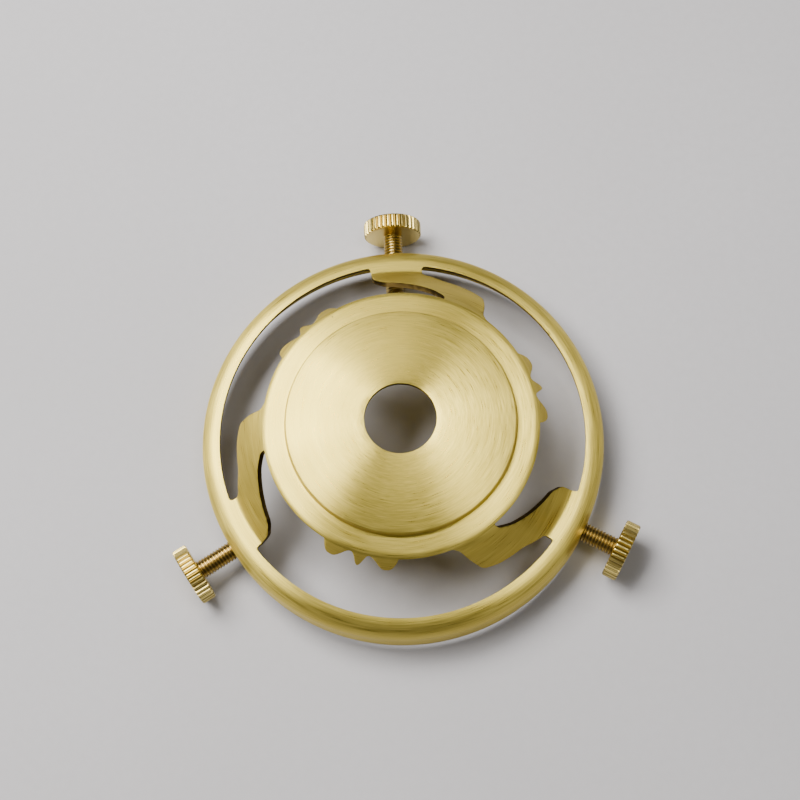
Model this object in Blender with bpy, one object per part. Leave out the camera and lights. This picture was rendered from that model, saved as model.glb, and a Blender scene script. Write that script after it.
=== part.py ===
# Brass lamp-shade gallery: a ring that hangs a glass shade from a lamp tube.
# A pressed body (raised centre disc, flange, three swept arms, skirted rim) carries
# three knurled thumbscrews whose tips clamp the lip of the shade inside the skirt.
# Units are metres, +Z is up. The origin is on the axis of the lamp-tube hole, in the
# plane of the nut seat on top of the disc. +Y runs through the back thumbscrew.

import math

import bmesh
import bpy
from mathutils import Matrix, Vector

MM = 0.001

# Body: radii and heights in millimetres, heights measured from the nut seat
SHEET = 0.8
HOLE_RADIUS = 5.4
SEAT_RADIUS = 7.6
DISC_RADIUS = 17.2
DISC_EDGE_ROUND = 0.3
DOME_DROP = 1.0
FLANGE_TOP = -2.0
FLANGE_RADIUS = 20.7
BEND_RADIUS = 20.4
RIM_TOP = -9.5
RIM_BEND_RADIUS = 26.9
RIM_INNER_RADIUS = 28.05
SHOULDER_ROUND = 2.6
SKIRT_RADIUS = 31.0
SKIRT_BOTTOM = -16.7
BODY_STEPS = 90
SECTOR = 120.0

# Arms: angles in degrees from the thumbscrew beside each arm, radii in millimetres
NECK_FRONT_ANGLE = 7.6
NECK_BACK_ANGLE = -9.3
ARM_ROOT_ANGLE = -41.5
SLOT_END_ANGLE = -21.5
ARM_TWIST = 0.035
TWIST_CENTRE_ANGLE = -12.0
NECK_SETTLED = (0.2, -2.1, 0.8)

# Scalloped edge: two lobes either side of a small point, bent down with the flange's edge
SCALLOP_ANGLE = 41.2
SCALLOP_SETTLED = (0.2, -0.7, 1.5)
LOBE_FROM_ANGLE = 4.0
LOBE_TO_ANGLE = 15.9
LOBE_HEIGHT = 1.3
POINT_HEIGHT = 1.35

# Thumbscrews
SCREW_HEIGHT = -13.9
SCREW_SHANK_RADIUS = 1.5
SCREW_SHANK_LENGTH = 10.0
SCREW_CLEARANCE = 0.1
HEAD_RADIUS = 4.6
HEAD_THICKNESS = 2.3
KNURL_RIBS = 36
KNURL_DEPTH = 0.35
SCREWS = (
    # name, direction in degrees, distance of the head's inner face from the axis
    ("thumbscrew_back", 90.0, 34.8),
    ("thumbscrew_left", 210.0, 36.7),
    ("thumbscrew_right", 330.0, 36.2),
)


def polar(radius, degrees):
    angle = math.radians(degrees)
    return Vector((radius * math.cos(angle), radius * math.sin(angle)))


def arc(centre, radius, start, end, count):
    """Points on an arc, start and end in degrees."""
    step = (end - start) / (count - 1)
    return [
        (
            centre[0] + radius * math.cos(math.radians(start + step * i)),
            centre[1] + radius * math.sin(math.radians(start + step * i)),
        )
        for i in range(count)
    ]


def body_profile():
    """Closed section of the sheet as (radius, height): the top outwards, then the underside."""
    edge_centre = (DISC_RADIUS - DISC_EDGE_ROUND, -DOME_DROP - DISC_EDGE_ROUND)
    dome_span = edge_centre[0] - SEAT_RADIUS
    top = [(HOLE_RADIUS, 0.0), (SEAT_RADIUS, 0.0)]
    for share in (0.35, 0.62, 0.85):
        top.append((SEAT_RADIUS + share * dome_span, -DOME_DROP * share**2))
    top += arc(edge_centre, DISC_EDGE_ROUND, 78.0, 8.0, 4)
    top.append((DISC_RADIUS + 0.15, FLANGE_TOP))
    top.append((BEND_RADIUS - 0.7, FLANGE_TOP))

    slope_run = RIM_BEND_RADIUS - BEND_RADIUS
    slope_fall = RIM_TOP - FLANGE_TOP
    for share in (0.0, 0.33, 0.67, 1.0):
        ease = 0.15 if share == 0.0 else (-0.1 if share == 1.0 else 0.0)
        top.append((BEND_RADIUS + share * slope_run, FLANGE_TOP + share * slope_fall - ease))
    top.append((RIM_BEND_RADIUS + 0.3, RIM_TOP))

    shoulder = (SKIRT_RADIUS - SHOULDER_ROUND, RIM_TOP - SHOULDER_ROUND)
    top += arc(shoulder, SHOULDER_ROUND, 90.0, 0.0, 6)
    top.append((SKIRT_RADIUS, SKIRT_BOTTOM))

    length = math.hypot(slope_run, slope_fall)
    across = (slope_fall / length * SHEET, -slope_run / length * SHEET)
    under = [(HOLE_RADIUS, -SHEET), (SEAT_RADIUS, -SHEET)]
    under.append((SEAT_RADIUS + 0.6 * dome_span, -SHEET - DOME_DROP * 0.36))
    under.append((DISC_RADIUS - 1.6, FLANGE_TOP - 0.15))
    under.append((DISC_RADIUS - 0.9, FLANGE_TOP - SHEET))
    first = (BEND_RADIUS + across[0], FLANGE_TOP + across[1])
    last = (RIM_BEND_RADIUS + across[0], RIM_TOP + across[1])
    steepness = slope_run / slope_fall
    flange_under = FLANGE_TOP - SHEET
    rim_under = RIM_TOP - SHEET
    start = (first[0] + (flange_under - first[1]) * steepness, flange_under)
    end = (last[0] + (rim_under - last[1]) * steepness, rim_under)
    for share in (0.0, 0.33, 0.67, 1.0):
        under.append(
            (
                start[0] + share * (end[0] - start[0]),
                start[1] + share * (end[1] - start[1]),
            )
        )
    under += arc(shoulder, SHOULDER_ROUND - SHEET, 90.0, 0.0, 5)
    under.append((SKIRT_RADIUS - SHEET, SKIRT_BOTTOM))
    return top + under[::-1]


def arm_angle(degrees):
    """Angle from the nearest arm's thumbscrew, from -60 to 60 either side of it."""
    return (degrees - 90.0 + 42.0) % SECTOR - 42.0


def formed_height(radius, height, degrees):
    """Twists the sloping part, arms and lobes, as the press draws it down."""
    angle = arm_angle(degrees)
    on_slope = BEND_RADIUS - 0.9 < radius < RIM_BEND_RADIUS + 0.2
    on_rim = min(abs(height - RIM_TOP), abs(height - RIM_TOP + SHEET)) < 0.05
    if not on_slope or on_rim:
        return height
    share = (radius - BEND_RADIUS) / (RIM_BEND_RADIUS - BEND_RADIUS)
    share = min(max(share, 0.0), 1.0)
    limited = min(max(angle, ARM_ROOT_ANGLE), NECK_FRONT_ANGLE)
    return height + ARM_TWIST * (TWIST_CENTRE_ANGLE - limited) * math.sin(math.pi * share) ** 2


def turned_body():
    """The sheet turned about the axis, before the windows are pierced."""
    profile = body_profile()
    mesh = bmesh.new()
    rings = []
    for step in range(BODY_STEPS):
        degrees = 360.0 / BODY_STEPS * step
        ring = []
        for radius, height in profile:
            point = polar(radius, degrees)
            height = formed_height(radius, height, degrees)
            ring.append(mesh.verts.new((point.x * MM, point.y * MM, height * MM)))
        rings.append(ring)
    for step in range(BODY_STEPS):
        ring = rings[step]
        following = rings[(step + 1) % BODY_STEPS]
        for i in range(len(profile)):
            j = (i + 1) % len(profile)
            mesh.faces.new((ring[i], following[i], following[j], ring[j]))
    bmesh.ops.recalc_face_normals(mesh, faces=mesh.faces)
    return mesh


def spiral(start, end, spacing=3.0):
    """Points from start to end, both (radius, degrees), without the end."""
    count = max(1, round(abs(end[1] - start[1]) / spacing))
    points = []
    for i in range(count):
        share = i / count
        radius = start[0] + (end[0] - start[0]) * share
        points.append(polar(radius, start[1] + (end[1] - start[1]) * share))
    return points


def rounded_path(corners):
    """Plan outline through (radius, degrees, rounding) corners joined by spirals."""
    count = len(corners)
    outline = []
    for i in range(count):
        before = corners[i - 1]
        here = corners[i]
        after = corners[(i + 1) % count]
        tip = polar(here[0], here[1])
        to_before = polar(before[0], before[1])
        to_after = polar(after[0], after[1])
        near_before = spiral(here, before)
        near_after = spiral(here, after)
        if len(near_before) > 1:
            to_before = near_before[1]
        if len(near_after) > 1:
            to_after = near_after[1]
        cut_in = min(here[2], 0.5 * (to_before - tip).length)
        cut_out = min(here[2], 0.5 * (to_after - tip).length)
        if cut_in > 0.0:
            first = tip + (to_before - tip).normalized() * cut_in
            last = tip + (to_after - tip).normalized() * cut_out
            for t in (0.0, 0.25, 0.5, 0.75, 1.0):
                outline.append(first * (1 - t) ** 2 + tip * 2 * t * (1 - t) + last * t**2)
        else:
            outline.append(tip)
        outline += near_after[1:]
    return outline


def lobe_shape(share):
    """Height share across a lobe, from its outer end (0) to the point's side (1)."""
    rise = 1.0 - (1.0 - min(share / 0.3, 1.0)) ** 2.2
    fall = min(max((share - 0.58) / 0.42, 0.0), 1.0)
    return rise * (1.0 - fall * fall * (3.0 - 2.0 * fall))


def scallops(number):
    """Corners of the scalloped edge from the far lobe, over the point, to the near lobe."""
    middle = SCALLOP_ANGLE + SCALLOP_SETTLED[number]
    width = LOBE_TO_ANGLE - LOBE_FROM_ANGLE
    shares = (0.0, 0.04, 0.1, 0.18, 0.28, 0.45, 0.6, 0.7, 0.8, 0.9, 1.0)
    corners = []
    for share in shares:
        height = LOBE_HEIGHT * lobe_shape(share)
        corners.append((FLANGE_RADIUS + height, middle + LOBE_TO_ANGLE - width * share, 0.0))
    for across in (-0.7, -0.4, -0.15, 0.15, 0.4, 0.7):
        height = POINT_HEIGHT * (0.5 + 0.5 * math.cos(math.pi * across)) ** 1.3
        corners.append((FLANGE_RADIUS + height, middle - LOBE_FROM_ANGLE * across, 0.0))
    for share in reversed(shares):
        height = LOBE_HEIGHT * lobe_shape(share)
        corners.append((FLANGE_RADIUS + height, middle - LOBE_TO_ANGLE + width * share, 0.0))
    return corners


def window_outline(number):
    """One window: rim edge, next arm's outer edge, scalloped flange, arm's inner edge."""
    corners = [
        (RIM_INNER_RADIUS, NECK_FRONT_ANGLE, 0.5),
        (RIM_INNER_RADIUS, SECTOR + NECK_BACK_ANGLE, 0.7),
        (26.6, SECTOR + NECK_BACK_ANGLE - 0.3, 0.8),
        (25.4, SECTOR - 18.0, 2.0),
        (25.0, SECTOR - 28.5, 1.5),
        (24.5, SECTOR - 34.0, 1.5),
        (22.6, SECTOR - 37.3, 1.0),
        (21.3, SECTOR - 38.8, 0.6),
        (FLANGE_RADIUS, SECTOR + ARM_ROOT_ANGLE, 0.8),
    ]
    corners += scallops(number)
    corners += [
        (FLANGE_RADIUS, SLOT_END_ANGLE, 0.25),
        (21.4, SLOT_END_ANGLE + 0.6, 0.3),
        (22.4, -15.5, 0.8),
        (23.5, -6.0, 1.5),
        (24.5, 4.0, 1.0),
        (25.6, 7.5, 1.2),
    ]
    settled = []
    for radius, angle, rounding in corners:
        share = min(max((radius - 21.2) / 5.0, 0.0), 1.0)
        arm = number if angle < 60.0 else (number + 1) % 3
        settled.append((radius, angle + share * NECK_SETTLED[arm], rounding))
    return rounded_path(settled)


def prism(outline, bottom, top):
    """Closed prism over a plan outline in millimetres, added to a new mesh."""
    mesh = bmesh.new()
    lower = [mesh.verts.new((p.x * MM, p.y * MM, bottom * MM)) for p in outline]
    upper = [mesh.verts.new((p.x * MM, p.y * MM, top * MM)) for p in outline]
    mesh.faces.new(lower[::-1])
    mesh.faces.new(upper)
    for i in range(len(outline)):
        j = (i + 1) % len(outline)
        mesh.faces.new((lower[i], lower[j], upper[j], upper[i]))
    bmesh.ops.recalc_face_normals(mesh, faces=mesh.faces)
    return mesh


def cylinder(radius, start, end, sides):
    """Closed cylinder along +X from start to end, in millimetres."""
    mesh = bmesh.new()
    rings = []
    for x in (start, end):
        ring = []
        for i in range(sides):
            point = polar(radius, 360.0 / sides * (i + 0.5))
            ring.append(mesh.verts.new((x * MM, point.x * MM, point.y * MM)))
        rings.append(ring)
    mesh.faces.new(rings[0])
    mesh.faces.new(rings[1][::-1])
    for i in range(sides):
        j = (i + 1) % sides
        mesh.faces.new((rings[0][i], rings[1][i], rings[1][j], rings[0][j]))
    bmesh.ops.recalc_face_normals(mesh, faces=mesh.faces)
    return mesh


def material(name, colour, roughness):
    shader = bpy.data.materials.new(name)
    shader.use_nodes = True
    principled = shader.node_tree.nodes["Principled BSDF"]
    principled.inputs["Base Color"].default_value = (*colour, 1.0)
    principled.inputs["Metallic"].default_value = 1.0
    principled.inputs["Roughness"].default_value = roughness
    return shader


def add_object(name, mesh, shader=None):
    data = bpy.data.meshes.new(name)
    mesh.to_mesh(data)
    mesh.free()
    if shader is not None:
        data.materials.append(shader)
        data.shade_smooth()
        data.set_sharp_from_angle(angle=math.radians(35.0))
    thing = bpy.data.objects.new(name, data)
    bpy.context.scene.collection.objects.link(thing)
    return thing


def as_cutter(cutter, target):
    cutter.hide_render = True
    cutter.display_type = "WIRE"
    cut = target.modifiers.new(cutter.name, "BOOLEAN")
    cut.operation = "DIFFERENCE"
    cut.solver = "EXACT"
    cut.object = cutter


def screw_mesh():
    """Thumbscrew along +X: the shank's tip points to -X, the head's inner face is at 0."""
    mesh = bmesh.new()
    head = []
    pitch = 360.0 / KNURL_RIBS
    for i in range(KNURL_RIBS):
        middle = 90.0 + pitch * i
        for offset, radius in (
            (-0.5, HEAD_RADIUS - KNURL_DEPTH),
            (-0.22, HEAD_RADIUS),
            (0.22, HEAD_RADIUS),
        ):
            head.append(polar(radius, middle + offset * pitch))
    shank_sides = 24
    shank = [
        polar(SCREW_SHANK_RADIUS, 360.0 / shank_sides * (i + 0.5)) for i in range(shank_sides)
    ]

    def ring(points, x):
        return [mesh.verts.new((x * MM, p.x * MM, p.y * MM)) for p in points]

    def wall(first, second):
        for i in range(len(first)):
            j = (i + 1) % len(first)
            mesh.faces.new((first[i], second[i], second[j], first[j]))

    tip = ring(shank, -SCREW_SHANK_LENGTH)
    base = ring(shank, 0.0)
    inner = ring(head, 0.0)
    outer = ring(head, HEAD_THICKNESS)
    wall(tip, base)
    wall(inner, outer)
    mesh.faces.new(tip[::-1])
    mesh.faces.new(outer)
    bmesh.ops.bridge_loops(
        mesh,
        edges=[
            mesh.edges.get((loop[i], loop[(i + 1) % len(loop)]))
            for loop in (base, inner)
            for i in range(len(loop))
        ],
    )
    bmesh.ops.recalc_face_normals(mesh, faces=mesh.faces)
    return mesh


def main():
    for thing in list(bpy.data.objects):
        bpy.data.objects.remove(thing, do_unlink=True)

    body_brass = material("brushed brass", (0.62, 0.52, 0.22), 0.38)
    body = add_object("gallery_body", turned_body(), body_brass)

    for number in range(3):
        turned = []
        for point in window_outline(number):
            rotation = Matrix.Rotation(math.radians(90.0 + SECTOR * number), 2)
            turned.append(rotation @ point)
        cutter = add_object(f"window_cutter_{number + 1}", prism(turned, RIM_TOP - 3.0, 2.0))
        as_cutter(cutter, body)

    for name, direction, distance in SCREWS:
        turn = Matrix.Rotation(math.radians(direction), 4, "Z")
        lift = Matrix.Translation((0.0, 0.0, SCREW_HEIGHT * MM))
        hole_radius = SCREW_SHANK_RADIUS + SCREW_CLEARANCE
        hole = cylinder(hole_radius, SKIRT_RADIUS - 3.0, SKIRT_RADIUS + 2.0, 24)
        cutter = add_object(f"{name}_hole_cutter", hole)
        cutter.matrix_world = turn @ lift
        as_cutter(cutter, body)

        screw_brass = material(f"{name} brass", (0.74, 0.53, 0.22), 0.24)
        screw = add_object(name, screw_mesh(), screw_brass)
        screw.matrix_world = turn @ Matrix.Translation((distance * MM, 0.0, SCREW_HEIGHT * MM))


main()
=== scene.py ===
import bpy
import bmesh
import math
from mathutils import Matrix, Vector


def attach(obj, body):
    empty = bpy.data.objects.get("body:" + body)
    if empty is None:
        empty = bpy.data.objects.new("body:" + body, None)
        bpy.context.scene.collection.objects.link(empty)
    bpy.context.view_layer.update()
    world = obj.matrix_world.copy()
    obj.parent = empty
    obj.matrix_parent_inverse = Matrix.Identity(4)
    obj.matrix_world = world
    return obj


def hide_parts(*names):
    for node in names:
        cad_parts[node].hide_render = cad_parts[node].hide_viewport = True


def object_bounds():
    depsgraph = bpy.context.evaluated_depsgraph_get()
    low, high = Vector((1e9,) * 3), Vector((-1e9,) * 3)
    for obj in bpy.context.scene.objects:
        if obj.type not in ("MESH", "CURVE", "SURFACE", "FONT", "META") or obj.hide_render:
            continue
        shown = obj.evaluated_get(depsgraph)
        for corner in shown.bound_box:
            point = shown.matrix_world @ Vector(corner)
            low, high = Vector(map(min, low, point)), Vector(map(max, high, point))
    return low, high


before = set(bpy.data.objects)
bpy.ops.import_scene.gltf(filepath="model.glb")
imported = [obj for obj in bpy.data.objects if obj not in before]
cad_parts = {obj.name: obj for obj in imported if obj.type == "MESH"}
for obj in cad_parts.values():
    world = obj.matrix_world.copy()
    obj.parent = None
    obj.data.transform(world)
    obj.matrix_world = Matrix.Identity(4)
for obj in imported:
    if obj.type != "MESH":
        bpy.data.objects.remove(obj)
cadBox = [list(corner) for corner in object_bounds()]
mm = 0.001
sector = 120.0  # degrees from one arm to the next

gallery = {
    "sheet": 0.8,
    "holeRadius": 5.4,
    "seatRadius": 7.6,
    "discRadius": 17.2,
    "discEdgeRound": 0.3,
    "domeDrop": 1.0,
    "flangeTop": -2.0,
    "flangeRadius": 20.7,
    "bendRadius": 20.4,
    "bendRound": 1.5,
    "rimTop": -9.5,
    "rimBendRadius": 26.9,
    "rimInnerRadius": 28.05,
    "shoulderRound": 2.6,
    "skirtRadius": 31.0,
    "skirtBottom": -16.7,
    "ringSteps": 480,
    "creaseRound": 0.8,
    "edgeBreak": 0.09,
}

arms = {  # angles in degrees from the thumbscrew beside each arm
    "neckFront": 7.6,
    "neckBack": -9.3,
    "root": -41.5,
    "slotEnd": -21.5,
    "twist": 0.035,
    "twistCentre": -12.0,
    "settled": (0.2, -2.1, 0.8),  # how far each neck stands off its even place
    "settleFrom": 21.2,
    "settleOver": 5.0,
}

scallop = {  # two lobes with a small point between them, the same on both sides
    "middle": 41.2,
    "settled": (0.2, -0.7, 1.5),
    "lobeFrom": 4.0,
    "lobeTo": 15.9,
    "lobeHeight": 1.32,
    "pointHeight": 1.38,
}

thumbscrew = {
    "height": -13.9,
    "threadRadius": 1.5,
    "threadPitch": 0.5,
    "threadDepth": 0.2,
    "shankLength": 10.0,
    "clearance": 0.1,
    "headRadius": 4.6,
    "headThickness": 2.3,
    "faceChamfer": 0.32,
    "ribs": 36,
    "ribDepth": 0.36,
    "places": (
        ("thumbscrew_back", "screw_back", 90.0, 34.8),
        ("thumbscrew_left", "screw_left", 210.0, 36.7),
        ("thumbscrew_right", "screw_right", 330.0, 36.2),
    ),
}


def deselectAll():
    if bpy.context.object and bpy.context.object.mode != "OBJECT":
        bpy.ops.object.mode_set(mode="OBJECT")
    bpy.ops.object.select_all(action="DESELECT")


def makeActive(thing):
    deselectAll()
    thing.select_set(True)
    bpy.context.view_layer.objects.active = thing


def startEdit(thing, mode="VERT"):
    makeActive(thing)
    bpy.ops.object.mode_set(mode="EDIT")
    bpy.ops.mesh.select_mode(type=mode)
    bpy.ops.mesh.select_all(action="DESELECT")


def endEdit():
    bpy.ops.object.mode_set(mode="OBJECT")


def pickFaces(thing, wanted):
    shape = bmesh.from_edit_mesh(thing.data)
    for face in shape.faces:
        face.select_set(bool(wanted(face)))
    bmesh.update_edit_mesh(thing.data)


def applyAll(thing):
    makeActive(thing)
    for step in list(thing.modifiers):
        bpy.ops.object.modifier_apply(modifier=step.name)


def cutAway(thing, cutter, operation="DIFFERENCE"):
    cut = thing.modifiers.new("cut", "BOOLEAN")
    cut.operation = operation
    cut.solver = "EXACT"
    cut.object = cutter
    applyAll(thing)
    bpy.data.objects.remove(cutter)


def polar(radius, degrees):
    angle = math.radians(degrees)
    return Vector((radius * math.cos(angle), radius * math.sin(angle)))


def arcPoints(centreR, centreZ, radius, start, end, steps):
    points = []
    for i in range(steps + 1):
        angle = math.radians(start + (end - start) * i / steps)
        points.append((centreR + radius * math.cos(angle), centreZ + radius * math.sin(angle)))
    return points


def sectionStations():
    g = gallery
    edgeR = g["discRadius"] - g["discEdgeRound"]
    edgeZ = -g["domeDrop"] - g["discEdgeRound"]
    span = edgeR - g["seatRadius"]
    points = [(g["holeRadius"], 0.0), (g["holeRadius"] + 1.1, 0.0), (g["seatRadius"], 0.0)]
    for i in range(1, 12):
        share = i / 12
        points.append((g["seatRadius"] + share * span, -g["domeDrop"] * share ** 2))
    points += arcPoints(edgeR, edgeZ, g["discEdgeRound"], 77.0, 10.0, 8)
    points += arcPoints(g["discRadius"] + 0.2, g["flangeTop"] + 0.12, 0.1, 200.0, 270.0, 3)

    run = g["rimBendRadius"] - g["bendRadius"]
    fall = g["flangeTop"] - g["rimTop"]
    slope = math.degrees(math.atan2(fall, run))
    reach = g["bendRound"] * math.tan(math.radians(slope / 2))
    for radius, lift in ((18.0, 0.0), (18.8, -0.03), (19.3, -0.07)):
        points.append((radius, g["flangeTop"] + lift))
    bendStart = g["bendRadius"] - reach
    bendCentre = g["flangeTop"] - 0.1 - g["bendRound"]
    points += arcPoints(bendStart, bendCentre, g["bendRound"], 88.0, 90.0 - slope, 9)
    creaseRound = g["creaseRound"]
    creaseReach = creaseRound * math.tan(math.radians(slope / 2))
    creaseEnd = g["rimBendRadius"] + creaseReach
    crease = arcPoints(creaseEnd, g["rimTop"] + creaseRound, creaseRound, 270.0 - slope, 270.0, 6)
    first, last = points[-1], crease[0]
    for i in range(1, 12):
        share = i / 12
        points.append((
            first[0] + (last[0] - first[0]) * share,
            first[1] + (last[1] - first[1]) * share))
    points += crease
    points.append((27.7, g["rimTop"]))
    shoulderR = g["skirtRadius"] - g["shoulderRound"]
    shoulder = arcPoints(shoulderR, g["rimTop"] - g["shoulderRound"], g["shoulderRound"], 90.0, 0.0, 16)
    stations = [(r, r, z) for r, z in points + shoulder[:1]]
    flat = stations[-1][0]
    stepAlong = g["shoulderRound"] * math.pi / 2 / 16
    for r, z in shoulder[1:]:
        flat += stepAlong
        stations.append((flat, r, z))
    lowest = shoulder[-1][1]
    for i in range(1, 6):
        share = i / 5
        down = (lowest - g["skirtBottom"]) * share
        stations.append((flat + down, g["skirtRadius"], lowest - down))
    return stations


stations = sectionStations()


def sectionAt(flat):
    if flat <= stations[0][0]:
        return flat, stations[0][2]
    for before, after in zip(stations, stations[1:]):
        if flat <= after[0]:
            share = (flat - before[0]) / (after[0] - before[0])
            radius = before[1] + (after[1] - before[1]) * share
            return radius, before[2] + (after[2] - before[2]) * share
    return stations[-1][1], stations[-1][2] - (flat - stations[-1][0])


def armAngle(degrees):
    return (degrees - 90.0 + 42.0) % sector - 42.0


def pressedPoint(flat, degrees):
    g = gallery
    radius, height = sectionAt(flat)
    angle = armAngle(degrees)
    if flat < 27.3:
        share = (flat - g["bendRadius"]) / (g["rimBendRadius"] - g["bendRadius"])
        share = min(max(share, 0.0), 1.0)
        limited = min(max(angle, arms["root"]), arms["neckFront"])
        height += arms["twist"] * (arms["twistCentre"] - limited) * math.sin(math.pi * share) ** 2
    flatPoint = polar(radius, degrees)
    return Vector((flatPoint.x, flatPoint.y, height))


def sheetNormal(flat, degrees):
    along = pressedPoint(flat + 0.3, degrees) - pressedPoint(flat - 0.3, degrees)
    around = pressedPoint(flat, degrees + 0.6) - pressedPoint(flat, degrees - 0.6)
    return along.cross(around).normalized()


def spiralPoints(start, end, spacing=1.5):
    count = max(1, round(abs(end[1] - start[1]) / spacing))
    points = []
    for i in range(count):
        share = i / count
        radius = start[0] + (end[0] - start[0]) * share
        points.append(polar(radius, start[1] + (end[1] - start[1]) * share))
    return points


def roundedPath(corners):
    outline = []
    count = len(corners)
    for i in range(count):
        before, here, after = corners[i - 1], corners[i], corners[(i + 1) % count]
        tip = polar(here[0], here[1])
        nearBefore, nearAfter = spiralPoints(here, before), spiralPoints(here, after)
        toBefore, toAfter = polar(before[0], before[1]), polar(after[0], after[1])
        if len(nearBefore) > 1:
            toBefore = nearBefore[min(2, len(nearBefore) - 1)]
        if len(nearAfter) > 1:
            toAfter = nearAfter[min(2, len(nearAfter) - 1)]
        cutIn = min(here[2], 0.5 * (toBefore - tip).length)
        cutOut = min(here[2], 0.5 * (toAfter - tip).length)
        if cutIn > 0.0:
            first = tip + (toBefore - tip).normalized() * cutIn
            last = tip + (toAfter - tip).normalized() * cutOut
            for j in range(9):
                t = j / 8
                outline.append(first * (1 - t) ** 2 + tip * 2 * t * (1 - t) + last * t ** 2)
            outline += [p for p in nearAfter[1:] if (p - tip).length > cutOut + 0.05]
        else:
            outline.append(tip)
            outline += nearAfter[1:]
    return outline


def lobeShape(share):
    rise = 1.0 - (1.0 - min(share / 0.36, 1.0)) ** 2.4
    fall = min(max((share - 0.44) / 0.56, 0.0), 1.0)
    return rise * (1.0 - fall * fall * (3.0 - 2.0 * fall))


def scallopCorners(number):  # each is radius, angle and rounding
    s = dict(scallop, middle=scallop["middle"] + scallop["settled"][number])
    base = gallery["flangeRadius"]
    width = s["lobeTo"] - s["lobeFrom"]
    corners = []
    for i in range(21):
        share = i / 20
        rise = s["lobeHeight"] * lobeShape(share)
        corners.append((base + rise, s["middle"] + s["lobeTo"] - width * share, 0.0))
    for i in range(1, 16):
        across = i / 8 - 1.0
        rise = (0.5 + 0.5 * math.cos(math.pi * across)) ** 1.3
        corners.append((base + s["pointHeight"] * rise, s["middle"] - s["lobeFrom"] * across, 0.0))
    for i in range(21):
        share = 1.0 - i / 20
        rise = s["lobeHeight"] * lobeShape(share)
        corners.append((base + rise, s["middle"] - s["lobeTo"] + width * share, 0.0))
    return corners


def windowPath(number):
    g = gallery
    corners = [
        (g["rimInnerRadius"], arms["neckFront"], 0.5),
        (g["rimInnerRadius"], sector + arms["neckBack"], 0.7),
        (26.6, 119.7 + arms["neckBack"], 0.8),
        (25.4, 102.0, 2.0),
        (25.0, 91.5, 1.5),
        (24.5, 86.0, 1.5),
        (22.6, 82.7, 1.0),
        (21.3, 81.2, 0.6),
        (g["flangeRadius"], sector + arms["root"], 0.8),
    ]
    corners += scallopCorners(number)
    corners += [
        (g["flangeRadius"], arms["slotEnd"], 0.25),
        (21.4, arms["slotEnd"] + 0.6, 0.3),
        (22.4, -15.5, 0.8),
        (23.5, -6.0, 1.5),
        (24.5, 4.0, 1.0),
        (25.6, 7.5, 1.2),
    ]
    settled = []
    for radius, angle, rounding in corners:
        share = min(max((radius - arms["settleFrom"]) / arms["settleOver"], 0.0), 1.0)
        arm = number if angle < sector / 2 else (number + 1) % 3
        settled.append((radius, angle + share * arms["settled"][arm], rounding))
    return roundedPath(settled)


def windowCutter(number):
    outline = windowPath(number)
    deselectAll()
    below, depth = 2 * mm, 4 * mm
    bpy.ops.mesh.primitive_circle_add(
        vertices=len(outline), radius=10 * mm, fill_type="NGON", location=(0, 0, -below))
    cutter = bpy.context.object
    spin = Matrix.Rotation(math.radians(90.0 + sector * number), 2)
    for vertex, point in zip(cutter.data.vertices, outline):
        place = spin @ point
        vertex.co = Vector((place.x * mm, place.y * mm, 0.0))
    startEdit(cutter, "FACE")
    bpy.ops.mesh.select_all(action="SELECT")
    bpy.ops.mesh.extrude_region_move(TRANSFORM_OT_translate={"value": (0, 0, depth)})
    bpy.ops.mesh.select_all(action="SELECT")
    bpy.ops.mesh.normals_make_consistent(inside=False)
    endEdit()
    return cutter


def flatBlank():
    deselectAll()
    bpy.ops.mesh.primitive_circle_add(
        vertices=gallery["ringSteps"], radius=stations[0][0] * mm, fill_type="NOTHING",
        location=(0, 0, 0))
    blank = bpy.context.object
    startEdit(blank, "EDGE")
    bpy.ops.mesh.select_all(action="SELECT")
    for before, after in zip(stations, stations[1:]):
        bpy.ops.mesh.extrude_edges_move()
        grow = after[0] / before[0]
        bpy.ops.transform.resize(value=(grow, grow, 1.0), center_override=(0, 0, 0))
    bpy.ops.mesh.select_all(action="SELECT")
    bpy.ops.mesh.normals_make_consistent(inside=False)
    bpy.ops.mesh.extrude_region_move(TRANSFORM_OT_translate={"value": (0, 0, -gallery["sheet"] * mm)})
    bpy.ops.mesh.select_all(action="SELECT")
    bpy.ops.mesh.normals_make_consistent(inside=False)
    endEdit()
    return blank


def pressBody(blank):
    half = -0.5 * gallery["sheet"] * mm
    for vertex in blank.data.vertices:
        flat = math.hypot(vertex.co.x, vertex.co.y) / mm
        degrees = math.degrees(math.atan2(vertex.co.y, vertex.co.x))
        place = pressedPoint(flat, degrees)
        if vertex.co.z < half:
            place = place - sheetNormal(flat, degrees) * gallery["sheet"]
        vertex.co = place * mm


def holeCutter(degrees):
    deselectAll()
    radius = (thumbscrew["threadRadius"] + thumbscrew["clearance"]) * mm
    middle = polar(gallery["skirtRadius"] * mm, degrees)
    bpy.ops.mesh.primitive_cylinder_add(
        vertices=48, radius=radius, depth=6 * mm,
        location=(middle.x, middle.y, thumbscrew["height"] * mm),
        rotation=(0.0, math.radians(90.0), math.radians(degrees)))
    cutter = bpy.context.object
    bpy.ops.object.transform_apply(location=True, rotation=True, scale=True)
    return cutter


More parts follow.
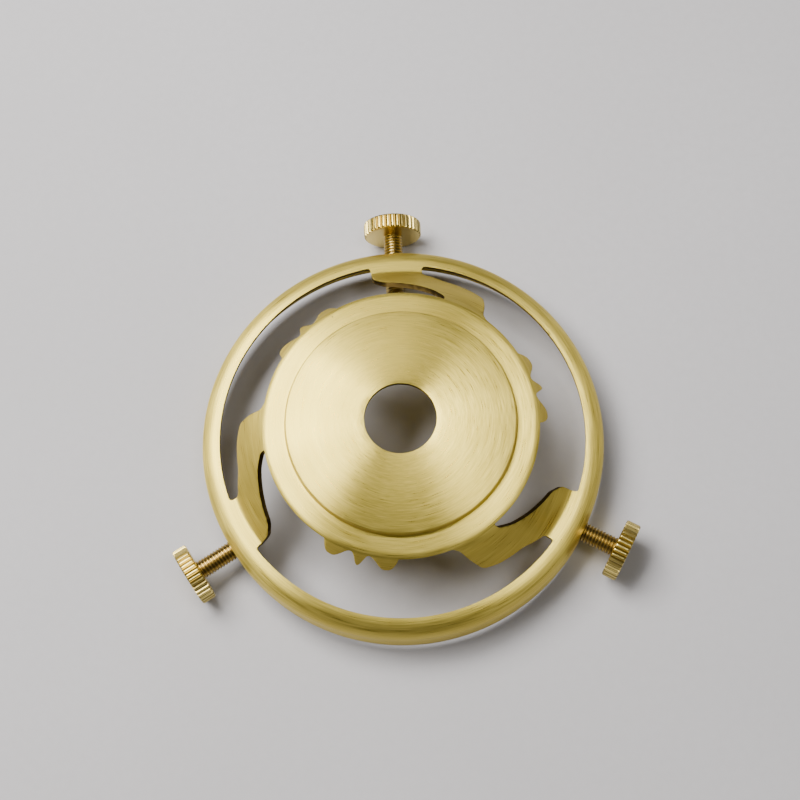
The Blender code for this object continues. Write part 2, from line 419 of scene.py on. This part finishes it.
def buildBody():
    body = flatBlank()
    body.name = "pressed_gallery"
    body.data.name = "pressed_gallery"
    for number in range(3):
        cutAway(body, windowCutter(number))
    startEdit(body)
    bpy.ops.mesh.select_all(action="SELECT")
    bpy.ops.mesh.remove_doubles(threshold=0.004 * mm)
    endEdit()
    # faces of the cut edges; the material paints them nearly black as painted shade
    cutEdges = body.data.attributes.new("cutEdge", "FLOAT", "FACE")
    for face in body.data.polygons:
        cutEdges.data[face.index].value = 1.0 if abs(face.normal.z) < 0.3 else 0.0
    print("gallery blank pierced:", len(body.data.polygons), "faces")
    pressBody(body)
    for _, _, degrees, _ in thumbscrew["places"]:
        cutAway(body, holeCutter(degrees))
    bevel = body.modifiers.new("edge break", "BEVEL")
    bevel.width = gallery["edgeBreak"] * mm
    bevel.segments = 2
    bevel.limit_method = "ANGLE"
    bevel.angle_limit = math.radians(50.0)
    applyAll(body)
    makeActive(body)
    bpy.ops.object.shade_smooth_by_angle(angle=math.radians(38.0))
    print("gallery pressed:", len(body.data.polygons), "faces")
    return body


def ribRadius(degrees):
    t = thumbscrew
    pitch = 360.0 / t["ribs"]
    across = abs((degrees / pitch + 0.5) % 1.0 - 0.5) * 2.0  # 0 on a crown, 1 in a groove
    fall = 0.0 if across < 0.3 else math.sin((across - 0.3) / 0.7 * math.pi / 2) ** 1.6
    return t["headRadius"] - 0.12 * across ** 2 - (t["ribDepth"] - 0.12) * fall


def buildHead():
    t = thumbscrew
    deselectAll()
    bpy.ops.mesh.primitive_cylinder_add(
        vertices=t["ribs"] * 10, radius=t["headRadius"] * mm, depth=t["headThickness"] * mm,
        end_fill_type="NGON", location=(0, 0, 0.5 * t["headThickness"] * mm))
    head = bpy.context.object
    bpy.ops.object.transform_apply(location=True, rotation=True, scale=True)
    startEdit(head, "FACE")
    pickFaces(head, lambda face: abs(face.normal.z) > 0.9)
    bpy.ops.mesh.bevel(offset=t["faceChamfer"] * mm, segments=4, profile=0.5, affect="EDGES")
    pickFaces(head, lambda face: abs(face.normal.z) > 0.99 and face.calc_area() > (3.0 * mm) ** 2)
    bpy.ops.mesh.inset(thickness=0.5 * mm)
    bpy.ops.mesh.inset(thickness=1.6 * mm)
    endEdit()
    for vertex in head.data.vertices:
        radius = math.hypot(vertex.co.x, vertex.co.y) / mm
        degrees = math.degrees(math.atan2(vertex.co.y, vertex.co.x))
        limit = ribRadius(degrees)
        if radius > limit:
            vertex.co.x *= limit / radius
            vertex.co.y *= limit / radius
    return head


def buildThread():
    t = thumbscrew
    pitch, outer = t["threadPitch"], t["threadRadius"]
    inner = outer - t["threadDepth"]
    section = [  # one turn's profile, radius and height
        (inner, 0.0), (inner, 0.07), (outer - 0.03, 0.235), (outer, 0.26),
        (outer, 0.31), (outer - 0.03, 0.335), (inner, 0.5)]
    deselectAll()
    bpy.ops.mesh.primitive_circle_add(
        vertices=len(section), radius=1 * mm, fill_type="NOTHING", location=(0, 0, 0))
    thread = bpy.context.object
    for vertex, (radius, height) in zip(thread.data.vertices, section):
        vertex.co = Vector((radius * mm, 0.0, height * mm))
    startEdit(thread, "EDGE")
    shape = bmesh.from_edit_mesh(thread.data)
    for edge in shape.edges:
        edge.select_set(edge.calc_length() > 0.45 * mm)
    bmesh.update_edit_mesh(thread.data)
    bpy.ops.mesh.delete(type="EDGE")
    endEdit()
    wind = thread.modifiers.new("wind", "SCREW")
    wind.axis = "Z"
    wind.angle = math.radians(360.0)
    wind.screw_offset = pitch * mm
    wind.iterations = int(t["shankLength"] / pitch) + 4
    wind.steps = 40
    wind.render_steps = 40
    wind.use_merge_vertices = True
    wind.merge_threshold = 0.002 * mm
    applyAll(thread)
    for vertex in thread.data.vertices:
        vertex.co.z -= (t["shankLength"] + 2 * pitch) * mm
    startEdit(thread, "VERT")
    bpy.ops.mesh.select_all(action="SELECT")
    bpy.ops.mesh.remove_doubles(threshold=0.003 * mm)
    bpy.ops.mesh.select_all(action="SELECT")
    bpy.ops.mesh.bisect(
        plane_co=(0, 0, 0.3 * mm), plane_no=(0, 0, 1), use_fill=True,
        clear_outer=True, clear_inner=False)
    bpy.ops.mesh.select_all(action="SELECT")
    bpy.ops.mesh.bisect(
        plane_co=(0, 0, -t["shankLength"] * mm), plane_no=(0, 0, 1), use_fill=True,
        clear_outer=False, clear_inner=True)
    bpy.ops.mesh.select_all(action="SELECT")
    bpy.ops.mesh.normals_make_consistent(inside=False)
    endEdit()
    for vertex in thread.data.vertices:  # chamfered lead at the tip
        fromTip = vertex.co.z / mm + t["shankLength"]
        radius = math.hypot(vertex.co.x, vertex.co.y) / mm
        limit = 1.12 + fromTip * 0.9
        if radius > limit:
            vertex.co.x *= limit / radius
            vertex.co.y *= limit / radius
    return thread


def buildThumbscrew():
    head = buildHead()
    thread = buildThread()
    cutAway(head, thread, "UNION")
    t = thumbscrew
    screwSpace = head.data.attributes.new("screwSpace", "FLOAT_VECTOR", "POINT")
    # grooveShade: depth into the thread and knurl grooves, used for painted shade
    grooveShade = head.data.attributes.new("grooveShade", "FLOAT", "POINT")
    threadMask = head.data.attributes.new("threadMask", "FLOAT", "POINT")
    for i, vertex in enumerate(head.data.vertices):
        place = vertex.co
        screwSpace.data[i].vector = place
        radius = math.hypot(place.x, place.y) / mm
        height = place.z / mm
        deep = 0.0
        if height < -0.02:
            threadMask.data[i].value = 1.0
            deep = (t["threadRadius"] - radius) / t["threadDepth"]
        elif 0.02 < height < t["headThickness"] - 0.02 and radius > 3.9:
            deep = (t["headRadius"] - radius) / t["ribDepth"]
        grooveShade.data[i].value = min(max(deep, 0.0), 1.0)
    makeActive(head)
    bpy.ops.object.shade_smooth_by_angle(angle=math.radians(30.0))
    print("thumbscrew modelled:", len(head.data.polygons), "faces")
    return head


def placeThumbscrews(pattern):
    pieces = []
    for number, (node, body, degrees, distance) in enumerate(thumbscrew["places"]):
        name = "knurled_" + node
        piece = bpy.data.objects.new(name, pattern.data.copy())
        piece.data.name = name
        bpy.context.scene.collection.objects.link(piece)
        aim = Vector((math.cos(math.radians(degrees)), math.sin(math.radians(degrees)), 0.0))
        turn = Vector((0, 0, 1)).rotation_difference(aim).to_matrix().to_4x4()
        ownTurn = Matrix.Rotation(math.radians(3.0 + 17.0 * number), 4, "Z")
        place = Matrix.Translation((
            aim.x * distance * mm, aim.y * distance * mm, thumbscrew["height"] * mm))
        piece.data.transform(place @ turn @ ownTurn)
        pieces.append((piece, node, body))
    bpy.data.objects.remove(pattern)
    return pieces


def newMaterial(name):
    made = bpy.data.materials.new(name)
    made.use_nodes = True
    return made, made.node_tree.nodes, made.node_tree.links, made.node_tree.nodes["Principled BSDF"]


def mathNode(nodes, links, operation, first, second=None):
    node = nodes.new("ShaderNodeMath")
    node.operation = operation
    for socket, value in zip(node.inputs, (first, second)):
        if value is None:
            continue
        if isinstance(value, (int, float)):
            socket.default_value = value
        else:
            links.new(value, socket)
    return node.outputs[0]


def vectorNode(nodes, links, operation, first, second=None):
    node = nodes.new("ShaderNodeVectorMath")
    node.operation = operation
    for socket, value in zip(node.inputs, (first, second)):
        if value is None:
            continue
        if isinstance(value, tuple):
            socket.default_value = value
        else:
            links.new(value, socket)
    return node


def mixColour(nodes, links, factor, first, second):
    node = nodes.new("ShaderNodeMix")
    node.data_type = "RGBA"
    for socket, value in ((node.inputs[0], factor), (node.inputs[6], first), (node.inputs[7], second)):
        if isinstance(value, (int, float)):
            socket.default_value = value
        elif isinstance(value, tuple):
            socket.default_value = (*value, 1.0)
        else:
            links.new(value, socket)
    return node.outputs[2]


def rangeNode(nodes, links, value, low, high, toLow=0.0, toHigh=1.0):
    node = nodes.new("ShaderNodeMapRange")
    links.new(value, node.inputs[0])
    for i, number in enumerate((low, high, toLow, toHigh)):
        node.inputs[i + 1].default_value = number
    return node.outputs[0]


def noiseNode(nodes, links, vector, scale, detail=3.0, roughness=0.55):
    node = nodes.new("ShaderNodeTexNoise")
    links.new(vector, node.inputs["Vector"])
    node.inputs["Scale"].default_value = scale
    node.inputs["Detail"].default_value = detail
    node.inputs["Roughness"].default_value = roughness
    return node.outputs["Fac"]


satinFinish = {
    "fineLines": (6.0, 9000.0),  # how often the brushing changes around, and across
    "middleLines": (3.0, 3600.0),
    "broadLines": (1.6, 900.0),
    "pitScale": 420.0,
    "pitsAbove": 0.975,
    "light": (0.78, 0.62, 0.13),
    "dark": (0.46, 0.345, 0.05),
    # arms: dark olive laid on the sloped arms as painted shade
    "arms": (0.33, 0.235, 0.035),
    # edge: near-black used as painted shade on the cut edges and as the colour of the real pits
    "edge": (0.075, 0.045, 0.015),
    "roughness": 0.32,
    "anisotropic": 0.98,
    "brushDepth": 0.000012,
}


def satinBrass():
    made, nodes, links, shader = newMaterial("satin_brass_brushed")
    where = nodes.new("ShaderNodeTexCoord").outputs["Object"]
    split = nodes.new("ShaderNodeSeparateXYZ")
    links.new(where, split.inputs[0])
    flat = vectorNode(nodes, links, "MULTIPLY", where, (1.0, 1.0, 0.0)).outputs[0]
    radius = vectorNode(nodes, links, "LENGTH", flat).outputs["Value"]
    outward = vectorNode(nodes, links, "NORMALIZE", flat).outputs[0]
    around = vectorNode(nodes, links, "CROSS_PRODUCT", (0.0, 0.0, 1.0), outward).outputs[0]
    down = mathNode(nodes, links, "SUBTRACT", radius, split.outputs[2])
    outSplit = nodes.new("ShaderNodeSeparateXYZ")
    links.new(outward, outSplit.inputs[0])

    def times(value, factor):
        return mathNode(nodes, links, "MULTIPLY", value, factor)

    def brushed(turns, across):  # stretched along circles about the middle
        join = nodes.new("ShaderNodeCombineXYZ")
        links.new(times(outSplit.outputs[0], turns), join.inputs[0])
        links.new(times(outSplit.outputs[1], turns), join.inputs[1])
        links.new(times(down, across), join.inputs[2])
        return join.outputs[0]

    f = satinFinish
    fine = noiseNode(nodes, links, brushed(*f["fineLines"]), 1.0, 2.0, 0.6)
    middle = noiseNode(nodes, links, brushed(*f["middleLines"]), 1.0, 2.0, 0.5)
    broad = noiseNode(nodes, links, brushed(*f["broadLines"]), 1.0, 2.0, 0.5)
    blotch = noiseNode(nodes, links, where, 120.0, 3.0, 0.5)
    streaks = mathNode(nodes, links, "ADD", times(fine, 0.5), times(middle, 0.35))
    shade = mathNode(nodes, links, "ADD", streaks, times(broad, 0.15))
    shade = rangeNode(nodes, links, shade, 0.34, 0.64)
    tone = mixColour(nodes, links, shade, f["dark"], f["light"])
    dulled = rangeNode(nodes, links, blotch, 0.35, 0.7, 0.0, 0.18)
    tone = mixColour(nodes, links, dulled, tone, f["dark"])
    # painted shade: the sloped arms, below the flange and inside the rim, are mixed 55% toward the dark
    # arms colour
    slopedArmShade = rangeNode(nodes, links, split.outputs[2], -2.1 * mm, -3.2 * mm)
    inside = rangeNode(nodes, links, radius, 27.2 * mm, 26.4 * mm)
    tone = mixColour(nodes, links, times(times(slopedArmShade, inside), 0.55), tone, f["arms"])
    # painted shade: the cut edge faces are mixed 92% toward near-black, standing in for their dark
    # reflection
    cut = nodes.new("ShaderNodeAttribute")
    cut.attribute_name = "cutEdge"
    tone = mixColour(nodes, links, times(cut.outputs["Fac"], 0.92), tone, f["edge"])
    pits = nodes.new("ShaderNodeTexVoronoi")
    links.new(where, pits.inputs["Vector"])
    pits.inputs["Scale"].default_value = f["pitScale"]
    chosen = nodes.new("ShaderNodeSeparateColor")
    links.new(pits.outputs["Color"], chosen.inputs[0])
    rare = mathNode(nodes, links, "GREATER_THAN", chosen.outputs[0], f["pitsAbove"])
    pitted = times(rare, rangeNode(nodes, links, pits.outputs["Distance"], 0.085, 0.045))
    tone = mixColour(nodes, links, times(pitted, 0.85), tone, f["edge"])
    links.new(tone, shader.inputs["Base Color"])
    rough = rangeNode(nodes, links, streaks, 0.3, 0.55, f["roughness"] - 0.05, f["roughness"] + 0.07)
    rough = mathNode(nodes, links, "ADD", rough, times(cut.outputs["Fac"], 0.2))
    links.new(rough, shader.inputs["Roughness"])
    bump = nodes.new("ShaderNodeBump")
    bump.inputs["Strength"].default_value = 0.6
    bump.inputs["Distance"].default_value = f["brushDepth"]
    links.new(mathNode(nodes, links, "SUBTRACT", streaks, pitted), bump.inputs["Height"])
    links.new(bump.outputs[0], shader.inputs["Normal"])
    facing = nodes.new("ShaderNodeNewGeometry").outputs["Normal"]  # stretch the shine across the lines
    across = vectorNode(nodes, links, "CROSS_PRODUCT", around)
    links.new(facing, across.inputs[1])
    links.new(across.outputs[0], shader.inputs["Tangent"])
    shader.inputs["Metallic"].default_value = 1.0
    shader.inputs["Anisotropic"].default_value = f["anisotropic"]
    return made


screwFinish = {
    "turnedLines": (2.0, 7000.0),
    "gold": (0.78, 0.62, 0.19),
    # groove: dark colour for painted shade in the grooves and for random specks
    "groove": (0.17, 0.11, 0.03),
    "thread": (0.62, 0.47, 0.16),
    "roughness": 0.27,
}


def screwBrass():
    made, nodes, links, shader = newMaterial("thumbscrew_brass_turned")
    space = nodes.new("ShaderNodeAttribute")
    space.attribute_name = "screwSpace"
    where = space.outputs["Vector"]
    grooveShade = nodes.new("ShaderNodeAttribute")
    grooveShade.attribute_name = "grooveShade"
    mask = nodes.new("ShaderNodeAttribute")
    mask.attribute_name = "threadMask"
    split = nodes.new("ShaderNodeSeparateXYZ")
    links.new(where, split.inputs[0])
    flat = vectorNode(nodes, links, "MULTIPLY", where, (1.0, 1.0, 0.0)).outputs[0]
    radius = vectorNode(nodes, links, "LENGTH", flat).outputs["Value"]
    outward = vectorNode(nodes, links, "NORMALIZE", flat).outputs[0]
    outSplit = nodes.new("ShaderNodeSeparateXYZ")
    links.new(outward, outSplit.inputs[0])

    def times(value, factor):
        return mathNode(nodes, links, "MULTIPLY", value, factor)

    f = screwFinish
    around, across = f["turnedLines"]
    join = nodes.new("ShaderNodeCombineXYZ")
    links.new(times(outSplit.outputs[0], around), join.inputs[0])
    links.new(times(outSplit.outputs[1], around), join.inputs[1])
    down = mathNode(nodes, links, "SUBTRACT", radius, split.outputs[2])
    links.new(times(down, across), join.inputs[2])
    turned = noiseNode(nodes, links, join.outputs[0], 1.0, 3.0, 0.6)
    speck = noiseNode(nodes, links, where, 900.0, 4.0, 0.6)
    tone = mixColour(nodes, links, mask.outputs["Fac"], f["gold"], f["thread"])
    speckled = rangeNode(nodes, links, speck, 0.4, 0.75, 0.0, 0.35)
    tone = mixColour(nodes, links, speckled, tone, f["groove"])
    # painted shade: the thread and knurl grooves are darkened toward the groove colour by their depth
    tone = mixColour(nodes, links, times(grooveShade.outputs["Fac"], 0.75), tone, f["groove"])
    links.new(tone, shader.inputs["Base Color"])
    rough = rangeNode(nodes, links, turned, 0.3, 0.7, f["roughness"] - 0.05, f["roughness"] + 0.09)
    links.new(rough, shader.inputs["Roughness"])
    bump = nodes.new("ShaderNodeBump")
    bump.inputs["Strength"].default_value = 0.35
    bump.inputs["Distance"].default_value = 0.00001
    links.new(turned, bump.inputs["Height"])
    links.new(bump.outputs[0], shader.inputs["Normal"])
    shader.inputs["Metallic"].default_value = 1.0
    return made


tableFinish = {
    "pale": (0.59, 0.575, 0.58),
    "cloud": (0.54, 0.525, 0.525),
    "grain": (0.5, 0.485, 0.485),
    "roughness": 0.85,
}


def tablePaper():
    made, nodes, links, shader = newMaterial("pale_table")
    where = nodes.new("ShaderNodeTexCoord").outputs["Object"]
    cloud = rangeNode(nodes, links, noiseNode(nodes, links, where, 9.0, 3.0, 0.5), 0.35, 0.7)
    grain = noiseNode(nodes, links, where, 700.0, 3.0, 0.6)
    grain = rangeNode(nodes, links, grain, 0.35, 0.7, 0.0, 0.25)
    tone = mixColour(nodes, links, cloud, tableFinish["pale"], tableFinish["cloud"])
    tone = mixColour(nodes, links, grain, tone, tableFinish["grain"])
    links.new(tone, shader.inputs["Base Color"])
    shader.inputs["Roughness"].default_value = tableFinish["roughness"]
    return made


def makeFloor():
    deselectAll()
    bpy.ops.mesh.primitive_plane_add(size=3.0, location=(0, 0, 0))
    floor = bpy.context.object
    floor.name = "table_top"
    for vertex in floor.data.vertices:
        vertex.co.z = cadBox[0][2] - 0.00002
    floor.data.materials.append(tablePaper())


lamps = {  # azimuth and height in degrees, distance and size in metres, watts, colour
    "big_softbox": (144.0, 59.0, 0.42, 0.24, 3.0, (1.0, 0.985, 0.98)),
    "left_window": (190.0, 63.0, 0.5, 0.12, 0.5, (1.0, 0.985, 0.98)),
    "right_window": (347.0, 73.0, 0.6, 0.15, 0.55, (1.0, 0.99, 0.985)),
    "back_fill": (101.0, 63.0, 0.5, 0.15, 0.42, (1.0, 0.985, 0.98)),
}


roomLight = {"colour": (0.9, 0.9, 0.92), "strength": 0.09}


def makeLamps():
    for name, (azimuth, height, distance, size, watts, colour) in lamps.items():
        light = bpy.data.lights.new(name, "AREA")
        light.shape = "SQUARE"
        light.size = size
        light.energy = watts
        light.color = colour
        holder = bpy.data.objects.new(name, light)
        aim = Vector((
            math.cos(math.radians(height)) * math.cos(math.radians(azimuth)),
            math.cos(math.radians(height)) * math.sin(math.radians(azimuth)),
            math.sin(math.radians(height))))
        holder.location = aim * distance
        holder.rotation_euler = aim.to_track_quat("Z", "Y").to_euler()
        bpy.context.scene.collection.objects.link(holder)
    world = bpy.data.worlds.new("room")
    world.use_nodes = True
    world.node_tree.nodes["Background"].inputs[0].default_value = (*roomLight["colour"], 1.0)
    world.node_tree.nodes["Background"].inputs[1].default_value = roomLight["strength"]
    bpy.context.scene.world = world


viewpoint = {
    "lens": 72.0,
    "sensor": 36.0,
    "place": (0.0034, -0.06785, 0.2259),
    "turn": (17.3, 1.68, -2.69),  # degrees
}


def makeCamera():
    lens = bpy.data.cameras.new("view")
    lens.lens = viewpoint["lens"]
    lens.sensor_width = viewpoint["sensor"]
    lens.clip_start = 0.01
    holder = bpy.data.objects.new("view", lens)
    holder.location = viewpoint["place"]
    holder.rotation_euler = [math.radians(angle) for angle in viewpoint["turn"]]
    bpy.context.scene.collection.objects.link(holder)
    bpy.context.scene.camera = holder


makeCamera()
makeFloor()
makeLamps()
print("table, lamps and camera placed")

brushed = satinBrass()
body = buildBody()
body.data.materials.clear()
body.data.materials.append(brushed)
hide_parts("gallery_body")
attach(body, "body")

turnedBrass = screwBrass()
for piece, node, carrier in placeThumbscrews(buildThumbscrew()):
    piece.data.materials.clear()
    piece.data.materials.append(turnedBrass)
    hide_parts(node)
    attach(piece, carrier)
print("thumbscrews placed")

deselectAll()
